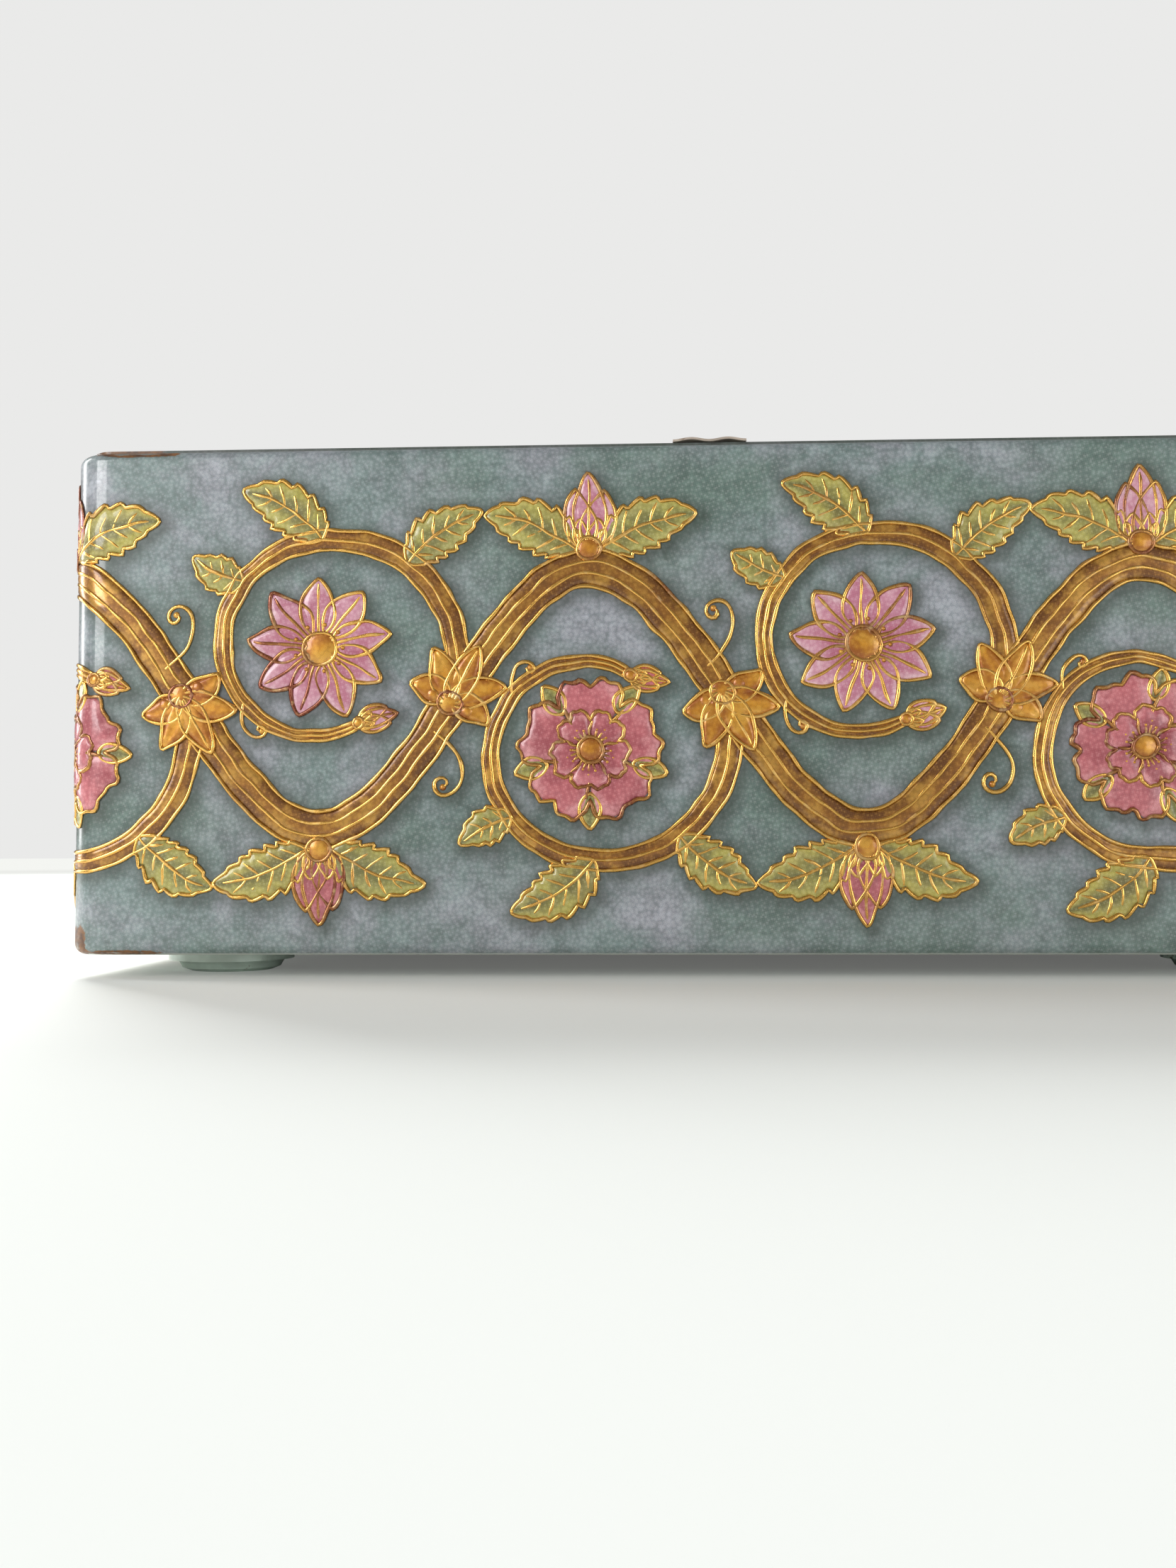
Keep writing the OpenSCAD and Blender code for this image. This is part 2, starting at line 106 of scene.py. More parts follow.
class LunchBoxColours(bpy.types.PropertyGroup):
    """Inks and metals of the box."""
    ground: colour_of("Ground", "Blue-grey ground of the print", 122, 139, 137)
    ground_pale: colour_of("Pale ground", "Lavender clouds in the ground", 162, 163, 172)
    ground_green: colour_of("Green ground", "Greener clouds in the ground", 102, 124, 113)
    petal: colour_of("Petal", "Middle of a rose petal", 200, 112, 118)
    petal_deep: colour_of("Deep petal", "Throat of a rose petal", 142, 58, 68)
    petal_pale: colour_of("Pale petal", "Petals of the asters", 214, 160, 174)
    leaf: colour_of("Leaf", "Light side of a leaf", 190, 178, 88)
    leaf_deep: colour_of("Deep leaf", "Dark side of a leaf", 96, 90, 42)
    scroll: colour_of("Scroll", "Ochre of the scrolls", 170, 112, 36)
    husk: colour_of("Husk", "Amber of the husks and beads", 228, 160, 40)
    gold: colour_of("Gold", "Outlines", 238, 184, 92)
    rust: colour_of("Rust", "Red-brown side of the outlines and worn edges", 128, 62, 34)
    lacquer: colour_of("Lacquer", "Grey-green lacquer of the base", 176, 190, 178)
    # painted light: the feet wear the base's lacquer, but this colour is paler so that the feet, in the box's
    # shade, still look brightly lit
    foot: colour_of("Feet", "Paler grey-green lacquer of the feet", 218, 234, 222)
    tin: colour_of("Tin", "Bare tinplate", 186, 184, 176)
    taupe: colour_of("Taupe", "Worn lacquer of the lift tab", 186, 172, 158)


class LunchBoxStudio(bpy.types.PropertyGroup):
    """Camera and lamps."""
    lens: FloatProperty(name="Lens", description="Focal length on a 36 mm sensor, in millimetres",
                        default=33.61, min=1)
    camera: FloatVectorProperty(name="Camera", description="Place of the camera", size=3,
                                default=(-0.0100, -0.2551, 0.0169), subtype="TRANSLATION")
    turn: angle_of("Turn", "Camera's turn to the right", -2.53)
    tilt: angle_of("Tilt", "Camera's tilt upwards", 2.68)
    roll: angle_of("Roll", "Camera's roll", -0.185)
    key: power_of("Key lamp", "Power of the key lamp", 7.8)
    fill: power_of("Fill lamp", "Power of the fill lamp", 2.6)
    window: power_of("Window", "Power of the tall lamp that glints on the left corner", 6.0)
    sun: power_of("Sun", "Power of the lamp behind, which throws the shadow forward", 14.0)
    sky: FloatProperty(name="Sky", description="Strength of the light from all round", default=0.22)


# --- finishes

def math_node(operation, turned=False):
    """A method that adds a Math node, with its two values turned round if asked."""
    def method(self, other):
        pair = (other, self) if turned else (self, other)
        return self.finish.node("Math", dict(enumerate(pair)), operation=operation)
    return method


class Field:
    """An output of a finish's node. Sums on it add Math nodes."""
    __add__ = __radd__ = math_node("ADD")
    __mul__ = __rmul__ = math_node("MULTIPLY")
    __sub__ = math_node("SUBTRACT")
    __rsub__ = math_node("SUBTRACT", turned=True)
    most = math_node("MAXIMUM")

    def __init__(self, finish, socket):
        self.finish = finish
        self.socket = socket

    def __abs__(self):
        return self.finish.node("Math", {0: self}, operation="ABSOLUTE")

    def mix(self, factor, other):
        return self.finish.mix(factor, self, other)

    def ramp(self, low, high, start=0.0, end=1.0):
        """start below low and end above high, with a smooth step between."""
        return self.finish.node("MapRange", {0: self, 1: low, 2: high, 3: start, 4: end},
                                interpolation_type="SMOOTHSTEP")


class Finish:
    """A material or a world that is built up from shader nodes."""

    def __init__(self, owner):
        self.owner = owner
        self.tones = bpy.context.scene.lunch_box_colours
        owner.use_nodes = True
        self.tree = owner.node_tree
        self.tree.nodes.clear()

    @cached_property
    def place(self):
        """The place on the object."""
        return self.node("TexCoord", output="Object")

    @cached_property
    def flat(self):
        """The place in the flat artwork."""
        return self.node("UVMap", uv_map="print")

    def node(self, kind, sockets=None, output=0, **settings):
        """Adds a node: its settings are set first, then its sockets take values or links."""
        node = self.tree.nodes.new("ShaderNode" + kind)
        for setting, value in settings.items():
            setattr(node, setting, value)
        for socket, value in (sockets or {}).items():
            if isinstance(value, Field):
                self.tree.links.new(value.socket, node.inputs[socket])
            elif node.inputs[socket].type == "RGBA":
                node.inputs[socket].default_value = (*value[:3], 1)
            else:
                node.inputs[socket].default_value = value
        return Field(self, node.outputs[output]) if node.outputs else None

    def mix(self, factor, first, second):
        return self.node("Mix", {0: factor, 6: first, 7: second}, 2, data_type="RGBA")

    def mottled(self, ink, factor, low, high):
        """The ink times low where the factor is 0, and times high where it is 1."""
        dark, bright = (self.node("VectorMath", {0: ink, "Scale": level}, operation="SCALE")
                        for level in (low, high))
        return self.mix(factor, dark, bright)

    def noise(self, scale, detail=3, roughness=0.55, stretch=(1, 1, 1), distortion=0.0):
        """Clouds of about 1 / scale metres, longer where stretch is small."""
        place = self.node("Mapping", {"Vector": self.place, "Scale": stretch})
        return self.node("TexNoise", {"Vector": place, "Scale": scale, "Detail": detail,
                                      "Roughness": roughness, "Distortion": distortion})

    def attribute(self, name):
        return self.node("Attribute", output="Fac", attribute_name=name)

    def axis(self, letter, vector=None):
        return self.node("SeparateXYZ", {0: vector or self.place}, letter)

    def screen(self, flat, period, angle):
        """A halftone screen from -1 to 1 in flat coordinates, with its dots period apart."""
        pitch = tau / period
        turned = self.node("Mapping", {"Vector": flat, "Rotation": (0, 0, angle), "Scale": (pitch,) * 3})
        waves = self.node("VectorMath", {0: turned}, operation="SINE")
        return self.axis("X", waves) * self.axis("Y", waves)

    def inked(self, ink, deep, pale, flat):
        """The ink with the print's screens of fine dots over it."""
        ink = ink.mix(self.screen(flat, 0.31 * MM, 0.26).ramp(-0.2, 0.9, 0, 0.20), deep)
        ink = ink.mix(self.screen(flat, 0.34 * MM, 1.05).ramp(-0.1, 0.9, 0, 0.16), pale)
        rosettes = self.node("TexVoronoi", {"Vector": flat, "Scale": 1.7 / MM, "Randomness": 0.85},
                             voronoi_dimensions="2D", feature="F1")
        ink = ink.mix(rosettes.ramp(0.42, 0.66, 0, 0.24), deep)
        return self.mix(rosettes.ramp(0.10, 0.34, 0.22, 0), ink, pale)

    def surface(self, ink, roughness, relief, strength, metallic=0.0, coat=0.5, coat_roughness=0.1,
                depth=0.03):
        """Ends the finish in a Principled shader, with a bump of a depth in millimetres."""
        bump = self.node("Bump", {"Height": relief, "Distance": depth * MM, "Strength": strength})
        shader = self.node("BsdfPrincipled", {
            "Base Color": ink, "Metallic": metallic, "Roughness": roughness, "Coat Weight": coat,
            "Coat Roughness": coat_roughness, "Normal": bump})
        self.node("OutputMaterial", {"Surface": shader})
        return self.owner


def shared(paint):
    """Makes a finish once for each name, and shares it between the pieces that ask for it."""
    @cache
    def made(name, *settings):
        return paint(Finish(bpy.data.materials.new(name)), *settings)
    return made


@shared
def printed_ground(finish, on_wall):
    """Mottled blue-grey print under a clear varnish, worn through to brown and metal at edges."""
    tones = finish.tones
    clouds = finish.noise(70, 6, 0.62, distortion=0.4).ramp(0.38, 0.66)
    drifts = finish.noise(40, 4, 0.55, stretch=(1, 1, 1.6)).ramp(0.42, 0.68)
    sponge = finish.noise(300, 6, 0.72, distortion=0.7).ramp(0.32, 0.68)
    stipple = finish.noise(1250, 4, 0.7).ramp(0.32, 0.70)
    ink = finish.mix(clouds, tones.ground, tones.ground_pale)
    ink = ink.mix(drifts * 0.85, tones.ground_green)
    ink = finish.mottled(ink, sponge, 0.70, 1.18)
    ink = finish.mottled(ink, stipple, 0.84, 1.12)
    ink = finish.inked(ink, srgb(70, 94, 90), srgb(182, 186, 188), finish.flat if on_wall else finish.place)
    # painted shadow: dark olive ground beside the artwork, strongest to its lower right as if cast by the
    # relief, with a fainter printed halo all round
    ink = ink.mix(finish.attribute("halo") * 0.72, srgb(48, 56, 46))
    scuff = finish.attribute("scuff")
    x, y, z = (finish.axis(letter) for letter in "XYZ")
    if on_wall:
        # painted reflection: a pale line along the wall's lowest edge, where the bottom bend would mirror the
        # white floor
        ink = ink.mix(z.ramp(0.00330, 0.00350, 0.8, 0), srgb(214, 218, 208))
    else:
        # painted shade: a dark band along the lid's outer 0.6 mm stands for its thin edge in shadow; the same
        # band also raises the wear, most at the front left corner
        edge = abs(x).ramp(0.0866, 0.0872).most(abs(y).ramp(0.0557, 0.0563))
        ink = ink.mix(edge * 0.75, srgb(66, 70, 60))
        scuff = scuff + edge * (x.ramp(-0.0785, -0.0760, 0.32, 0) * y.ramp(-0.054, -0.050, 1, 0) + 0.42)
    grain = finish.noise(900, 5, 0.7)
    worn = (scuff + grain * 0.55).ramp(0.80, 0.94)
    bare = (scuff + finish.noise(420, 4, 0.6) * 0.5).ramp(1.08, 1.20)
    ink = ink.mix(worn, finish.mix(grain.ramp(0.35, 0.65), srgb(84, 56, 38), srgb(134, 92, 54)))
    ink = ink.mix(bare, tones.tin)
    pebbles = finish.noise(820, 2, 0.5) + finish.noise(230, 2, 0.5) * 0.8 - worn * 1.4
    return finish.surface(ink, finish.noise(300, 3).ramp(0.3, 0.7, 0.32, 0.44), pebbles, 0.55,
                          bare * 0.9, 0.55 - worn * 0.45, 0.09)


@shared
def petal_ink(finish, pale):
    """Aster or rose ink, deep in the throat and pale at the rim, with fine veins."""
    tones = finish.tones
    if pale:
        throat, body, rim, blush = (srgb(170, 88, 112), tones.petal_pale, srgb(234, 204, 208),
                                    srgb(196, 124, 150))
    else:
        throat, body, rim, blush = tones.petal_deep, tones.petal, srgb(232, 166, 168), srgb(176, 84, 92)
    reach, middle, chance = (finish.attribute(part) for part in PARTS)
    flush = finish.noise(330, 5, 0.68, distortion=0.6)
    blots = finish.noise(210, 5, 0.64)
    veins = finish.noise(2100, 2, 0.4, stretch=(1, 1, 0.35)).ramp(0.52, 0.66)
    ink = finish.mix((reach + flush * 0.5).ramp(0.36, 0.92), throat, body)
    ink = ink.mix(blots.ramp(0.42, 0.60, 0, 0.72), throat)
    ink = ink.mix((flush * 0.9 + reach * 0.6 + middle * 0.35).ramp(0.98, 1.30, 0, 0.92), rim)
    ink = ink.mix(veins * 0.22, throat)
    ink = ink.mix(chance * 0.35, blush)
    ink = finish.inked(ink, throat, rim, finish.flat)
    return finish.surface(ink, flush.ramp(0.3, 0.7, 0.30, 0.42), finish.noise(900, 3) + veins * 0.5, 0.5)


@shared
def leaf_ink(finish):
    """Olive leaf ink, darker along the midrib and at the foot, with grain between the ribs."""
    tones = finish.tones
    reach, middle, chance = (finish.attribute(part) for part in PARTS)
    flush = finish.noise(300, 5, 0.66, distortion=0.4)
    ink = finish.mix((flush * 1.1 - middle * 0.50).ramp(0.10, 0.60, 0, 0.95), tones.leaf, tones.leaf_deep)
    ink = ink.mix((flush * 1.2 + middle * 0.35).ramp(0.75, 1.05, 0, 0.7), srgb(214, 200, 116))
    ink = ink.mix((flush - reach * 0.7).ramp(0.1, 0.5, 0, 0.6), srgb(104, 84, 36))
    ink = ink.mix(chance * 0.3, srgb(134, 140, 84))
    ink = finish.inked(ink, tones.leaf_deep, srgb(212, 208, 150), finish.flat)
    return finish.surface(ink, flush.ramp(0.3, 0.7, 0.32, 0.44), finish.noise(1000, 3), 0.6)


@shared
def ochre_ink(finish, amber):
    """Transparent amber or ochre ink over the metal, browner towards each patch's edges and in random clouds.
    """
    tones = finish.tones
    body, deep = (tones.husk, srgb(150, 80, 16)) if amber else (tones.scroll, srgb(98, 56, 16))
    flush = finish.noise(300, 4, 0.6)
    ink = finish.mix((flush + finish.attribute("middle") * 0.3).ramp(0.42, 0.86), body, deep)
    ink = ink.mix(flush.ramp(0.34, 0.54, 0.60, 0), srgb(232, 182, 84))
    ink = ink.mix(finish.attribute("chance") * 0.3, deep)
    ink = finish.inked(ink, deep, srgb(214, 160, 78), finish.flat)
    return finish.surface(ink, flush.ramp(0.3, 0.7, 0.28, 0.42), finish.noise(1100, 3), 0.6, 0.35)


@shared
def outline_gold(finish, low, high):
    """Raised gold line, bright on top and rubbed to red-brown where its clouds pass from low to high."""
    tones = finish.tones
    rub = finish.noise(700, 4, 0.65)
    tarnish = (finish.noise(70, 3, 0.5) * 0.75 + rub * 0.28).ramp(low, high)
    ink = finish.mix(tarnish, tones.gold, tones.rust)
    ink = ink.mix(rub.ramp(0.50, 0.72, 0, 0.5), srgb(246, 214, 150))
    return finish.surface(ink, rub.ramp(0.3, 0.7, 0.16, 0.36), rub, 0.5,
                          0.92 - tarnish * 0.4, 0.4, 0.12, 0.04)


@shared
def tinplate(finish, lacquered):
    """Tinplate with its faint crystals, drawn grain, fingering and rust freckles."""
    crystals = finish.node("TexVoronoi", {"Vector": finish.place, "Scale": 260}, "Color", feature="F1")
    crystals = finish.axis("X", crystals)
    grain = finish.noise(420, 4, 0.6, stretch=(0.06, 0.06, 1))
    smears = finish.noise(38, 5, 0.6, distortion=0.6)
    freckles = finish.noise(520, 5, 0.7).ramp(0.68, 0.74) * smears.ramp(0.42, 0.6)
    metal = finish.mix(crystals * 0.5, finish.tones.tin, srgb(158, 158, 152))
    metal = metal.mix(smears.ramp(0.35, 0.7, 0, 0.5), srgb(146, 142, 130))
    metal = metal.mix(lacquered * (smears * 0.4 + 0.7), srgb(200, 164, 92))
    metal = metal.mix(freckles, srgb(112, 66, 36))
    roughness = (smears * 0.25 + grain * 0.2 + crystals * 0.06).ramp(0.0, 0.55, 0.22, 0.52)
    return finish.surface(metal, roughness, grain + crystals * 0.15, 0.35, 0.92 - freckles * 0.8,
                          0.3 if lacquered else 0.0, 0.15)


@shared
def lacquered_sheet(finish, colour_name):
    """Stoved lacquer over tinplate, rubbed thin and freckled with wear."""
    colour = getattr(finish.tones, colour_name)
    shades = [tuple(min(1, level * factor) for level in colour) for factor in (0.80, 1.16, 1.6)]
    clouds = finish.noise(90, 4, 0.6)
    grain = finish.noise(700, 5, 0.7)
    scratches = finish.noise(520, 2, 0.5, stretch=(0.05, 1, 1)).ramp(0.66, 0.70)
    worn = (grain * 0.7 + clouds * 0.5).ramp(0.70, 0.78) * 0.8
    ink = finish.mix(clouds.ramp(0.35, 0.65), shades[0], shades[1])
    ink = ink.mix(scratches * 0.45, shades[2])
    ink = ink.mix(worn, srgb(112, 88, 64))
    return finish.surface(ink, (grain + scratches * 0.3).ramp(0.3, 0.8, 0.28, 0.46), grain - scratches, 0.4,
                          0.25, 0.45 - worn * 0.4, 0.14)


@shared
def drawn_wire(finish, warm):
    """Tinned steel wire or rivet, brushed, with dull and rubbed patches."""
    grain = finish.noise(900, 4, 0.6, stretch=(0.15, 1, 1))
    rub = finish.noise(140, 4, 0.6)
    spots = finish.noise(800, 4, 0.7).ramp(0.70, 0.76)
    metal = finish.mix(rub.ramp(0.35, 0.65), srgb(176, 176, 172), srgb(140, 138, 132))
    metal = metal.mix(warm, srgb(176, 140, 84))
    metal = metal.mix(spots, srgb(104, 68, 44))
    return finish.surface(metal, (grain * 0.5 + rub * 0.5).ramp(0.3, 0.7, 0.20, 0.42),
                          grain + spots * 0.5, 0.4, 0.95 - spots * 0.8, 0.0, 0.03, 0.02)


# --- flat artwork
# The artwork is laid out flat in millimetres: across is the way round the box from the middle of
# its front, up is the way up its profile from the bottom of the box, and both follow its bends.

WANDER, WANDER_SEED = 0.34, 7   # how far a hand-drawn line strays
WAVES = 8                       # of the vine on its way round, each with a coil above and below
VINE_LEVEL, VINE_SWAY = 34.5, 17.6
FRONT_COILS = (0, 1, 2, 3, 4, 13, 14, 15)
LINE_LEVEL, LINE_SQUASH = 0.14, 0.62            # middle of a gold line's section, and height over width
SUNK_EDGE = -0.04               # edge of a patch, just inside the sheet
BEAD_CROWN = 0.32               # tallest that a boss or bead stands
SKIN_COLUMNS, WALL_ROWS, BEND_ROWS = 396, 84, 14
PAINTED_SHADOW_SHIFT, HALO_AND_SHADOW_REACH = 0.55, 1.35           # of the dark beside the artwork: a painted shadow shifted down and right, as if cast by the raised artwork lit from the upper left, over a fainter printed halo all round

Patch = namedtuple("Patch", "kind columns rows place height chance lift")
Stroke = namedtuple("Stroke", "kind points closed lift")
Dome = namedtuple("Dome", "centre radius height lift")
noise.seed_set(WANDER_SEED)


class Drawing:
    """Patches, strokes and domes in flat coordinates, drawn through a layout that places them."""

    def __init__(self, layout, seed):
        self.layout = layout
        self.dice = random.Random(seed)
        self.depth = 3.7 * seed
        self.lift = 0.0
        self.patches, self.strokes, self.domes = [], [], []

    def spot(self, a, b):
        """The flat place of a drawn point, with the small wander of a hand-drawn line."""
        wander = noise.noise_vector((a * 0.30, b * 0.30, self.depth)) * WANDER
        return self.layout(a + wander.x, b + wander.y)

    def patch(self, kind, columns, rows, place, height):
        spot = self.spot
        self.patches.append(Patch(kind, columns, rows, lambda s, t: spot(*place(s, t)), height,
                                  self.dice.random(), self.lift))

    def stroke(self, kind, points, closed=False):
        self.strokes.append(Stroke(kind, [self.spot(*point) for point in evened(points, closed)], closed,
                                   self.lift))

    def dome(self, centre, radius, height):
        self.domes.append(Dome(self.spot(*centre), radius, height, self.lift))


def out_from(centre, distance, angle):
    """The point at a distance from the centre, in the direction of the angle."""
    return centre[0] + distance * cos(angle), centre[1] + distance * sin(angle)


def evened(points, closed, step=0.5):
    """The same line with its points about a step apart."""
    ring = list(points) + [points[0]] if closed else list(points)
    lengths = [dist(a, b) for a, b in zip(ring, ring[1:])]
    total = sum(lengths)
    count = max(3, round(total / step))
    even, walked, piece = [], 0.0, 0
    for i in range(count if closed else count + 1):
        target = total * i / count
        while piece < len(lengths) - 1 and walked + lengths[piece] < target:
            walked += lengths[piece]
            piece += 1
        part = (target - walked) / lengths[piece] if lengths[piece] else 0
        (a, b), (c, d) = ring[piece], ring[piece + 1]
        even.append((a + (c - a) * part, b + (d - b) * part))
    return even


def bent(base, heading, bend, length, along):
    """Point and heading at a part of the way along an arc that turns by bend."""
    turned = heading + bend * along
    if abs(bend) < 1e-3:
        return out_from(base, length * along, heading), turned
    reach = length / bend
    return (base[0] + reach * (sin(turned) - sin(heading)),
            base[1] - reach * (cos(turned) - cos(heading))), turned


def aside(point, heading, offset):
    """A point to the left of the heading by the offset."""
    return point[0] - offset * sin(heading), point[1] + offset * cos(heading)


def draw_leaf(art, base, heading, length, width, bend=0.0, teeth=7, kind="leaf", rise=1.0, ribs=True):
    """A leaf or lobe with an arched midrib and, if it has teeth, a serrated edge and side ribs."""
    rows = max(10, 4 * teeth)
    ink = "flower" if kind in ("rose", "aster") else "leaf"

    def half_width(along):
        swell = sin(pi * min(1, max(0, along)) ** 0.8) ** 0.8 if 0 < along < 1 else 0
        tooth = 0.30 * (teeth * along ** 0.9 % 1 - 0.5) if teeth else 0
        return width / 2 * swell * (1 + tooth)

    def place(s, t):
        point, turned = bent(base, heading, bend, length, t)
        return aside(point, turned, (2 * s - 1) * max(half_width(t), 0.05))

    def height(s, t):
        across = 2 * s - 1
        wide = half_width(t)
        crown = sqrt(max(0, 1 - across * across)) * wide / (wide + 0.5)
        return rise * 1.25 * (crown - 0.35 * exp(-(across / 0.18) ** 2) * crown)

    art.patch(kind, 8, rows, place, height)
    steps = [i / (rows * 2) for i in range(rows * 2 + 1)]
    left = [place(1, t) for t in steps]
    right = [place(0, t) for t in reversed(steps)]
    art.stroke(ink, left + right[1:-1], closed=True)
    if ribs:
        art.stroke(ink, [place(0.5, t) for t in steps if t <= 0.9])
    for i in range(1, teeth - 1):
        start = i / teeth - 0.04
        for side in ((0.14, 0.80) if i % 2 else (0.20, 0.86)):
            art.stroke(ink, [place(0.5, start), place((0.5 + side) / 2, start + 0.05),
                             place(side, start + 0.13)])


def draw_petals(art, centre, radius, turn, throat):
    """Five notched petals between the throat and the radius, with their outlines."""
    ripples = [art.dice.uniform(0, 6.28) for _ in range(5)]

    def reach(petal, across):
        swell = sqrt(max(0, 1 - abs(across) ** 3.2))
        notch = 0.12 * exp(-(across / 0.22) ** 2)
        frill = 0.035 * sin(15 * across + ripples[petal])
        return radius * (0.70 + 0.30 * swell - notch + frill * (1 - across ** 4))

    def polar(petal, across, distance):
        return out_from(centre, distance, turn + radians(72 * petal + 36 * across))

    for petal in range(5):
        def place(s, t, petal=petal):
            across = 2 * s - 1
            return polar(petal, across, throat + (reach(petal, across) - throat) * t)

        def height(s, t):
            across = 2 * s - 1
            cup = 0.55 + 0.45 * sin(pi * min(1, t * 1.05))
            return (1 - across ** 4) ** 0.5 * cup * min(1, 6 * (1.0 - t)) * min(1, 0.3 + 3 * t)

        art.patch("rose", 12, 12, place, height)
        art.stroke("flower", [
            polar(petal, 1 + 0.12 * sin(5 * t), throat + (0.70 * radius - throat) * t)
            for t in (0.1, 0.3, 0.5, 0.7, 0.9, 1.0)])
    art.stroke("flower", [polar(petal, i / 9 - 1, reach(petal, i / 9 - 1))
                          for petal in range(5) for i in range(18)], closed=True)
    return polar


def draw_boss(art, centre, radius, height):
    """A dome in a gold ring."""
    art.dome(centre, radius, height)
    art.stroke("flower", [out_from(centre, radius, i / 14 * tau) for i in range(14)], closed=True)


def draw_rose(art, centre, radius, turn):
    """An open double rose seen from the front, with its stamens round a gold boss."""
    for petal in range(5):
        angle = turn + radians(72 * petal + 36)
        draw_leaf(art, out_from(centre, 0.62 * radius, angle), angle, 0.48 * radius, 0.28 * radius,
                  teeth=0, rise=0.8, ribs=False)
    art.lift = 0.06
    draw_petals(art, centre, radius, turn, 0.17 * radius)
    art.lift = 0.16
    polar = draw_petals(art, centre, 0.56 * radius, turn + radians(36), 0.16 * radius)
    for petal in range(5):
        for lean, end in ((-0.45, 0.27), (0.0, 0.33), (0.45, 0.28)):
            tip = polar(petal, lean, radius * end)
            art.stroke("flower", [polar(petal, lean * 0.8, 0.17 * radius), tip])
            art.dome(tip, 0.34, 1.9)
    draw_boss(art, centre, 0.17 * radius, 1.7)
    art.lift = 0.0


def draw_aster(art, centre, radius, turn):
    """A flower of nine narrow pointed petals round a gold boss."""
    for petal in range(9):
        heading = turn + tau * petal / 9
        reach = radius * art.dice.uniform(0.78, 0.86)
        draw_leaf(art, out_from(centre, 0.18 * radius, heading), heading - 0.10, reach, radius * 0.50,
                  0.22, 0, "aster", 0.9)
    art.lift = 0.12
    draw_boss(art, centre, 0.24 * radius, 1.8)
    for i in range(9):
        art.dome(out_from(centre, 0.34 * radius, i / 9 * tau), 0.36, 2.0)
    art.lift = 0.0


def draw_bud(art, base, heading, size, kind):
    """A closed bud in its calyx, with a boss at its foot."""
    for lean, part in ((0.42, 0.80), (-0.42, 0.80), (0.0, 1.0)):
        draw_leaf(art, base, heading + lean, size * part, size * 0.42, -lean * 0.9, 0, kind, 0.95,
                  lean == 0)
    for lean in (0.75, -0.75):
        draw_leaf(art, base, heading + lean, size * 0.42, size * 0.22, -lean * 1.3, 0,
                  rise=1.05, ribs=False)
    art.lift = 0.12
    draw_boss(art, base, size * 0.15, 1.8)
    art.lift = 0.0


def draw_band(art, path, length, width, lines, rise=0.75, kind="scroll"):
    """A scroll of changing width along a path, with gold lines at set parts of its width."""
    rows = max(4, round(length / 0.9))

    def place(s, t):
        ahead, behind = path(min(1, t + 0.004)), path(max(0, t - 0.004))
        heading = atan2(ahead[1] - behind[1], ahead[0] - behind[0])
        return aside(path(t), heading, (s - 0.5) * width(t))

    def height(s, t):
        across = 2 * s - 1
        return rise * (max(0, 1 - across * across) ** 0.35 * (0.80 + 0.20 * cos(3 * pi * across)))

    art.patch(kind, 8, rows, place, height)
    for part in lines:
        art.stroke("scroll", [place(part, i / (2 * rows)) for i in range(2 * rows + 1)])


def draw_husk(art, base, heading, size):
    """Five amber lobes that clasp a fork, over a collar and two beads."""
    art.lift = 0.20
    for lean, part in ((1.15, 0.74), (-1.15, 0.74), (0.58, 0.95), (-0.58, 0.95), (0.0, 1.05)):
        art.lift += 0.01
        draw_leaf(art, base, heading + lean, size * part, size * 0.46, lean * 0.8, 0, "husk",
                  ribs=lean == 0)
    art.lift = 0.26
    draw_boss(art, base, size * 0.19, 1.8)
    for side in (-1, 1):
        art.dome(aside(base, heading, side * size * 0.30), size * 0.11, 1.9)
    art.lift = 0.0


def draw_tendril(art, base, heading, size, hand):
    """A thin gold tendril that winds up into a curl, with a bead at its end."""
    points = [base]
    for i in range(46):
        part = i / 45
        turn = heading + hand * (1.2 * part + 7.4 * part ** 2.4)
        points.append(out_from(points[-1], size / 26 * (1 - 0.62 * part), turn))
    art.stroke("scroll", points[:-1])
    art.dome(points[-1], 0.5, 2.0)


def size_of(name):
    """A size from the panel, in millimetres."""
    return getattr(bpy.context.scene.lunch_box_sizes, name) / MM


@cache
def box_of(node):
    """The lowest and highest corner of a piece of the frame, in millimetres."""
    return tuple(tuple(level / MM for level in corner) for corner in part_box(node))


@cache
def wall_runs():
    """The straight lengths of front and side, a corner's arc and the way round, in millimetres."""
    low, high = box_of("body_wall")
    long_run, short_run = (high[i] - low[i] - 2 * size_of("corner") for i in (0, 1))
    arc = size_of("corner") * pi / 2
    return long_run, short_run, arc, 2 * (long_run + short_run) + 4 * arc


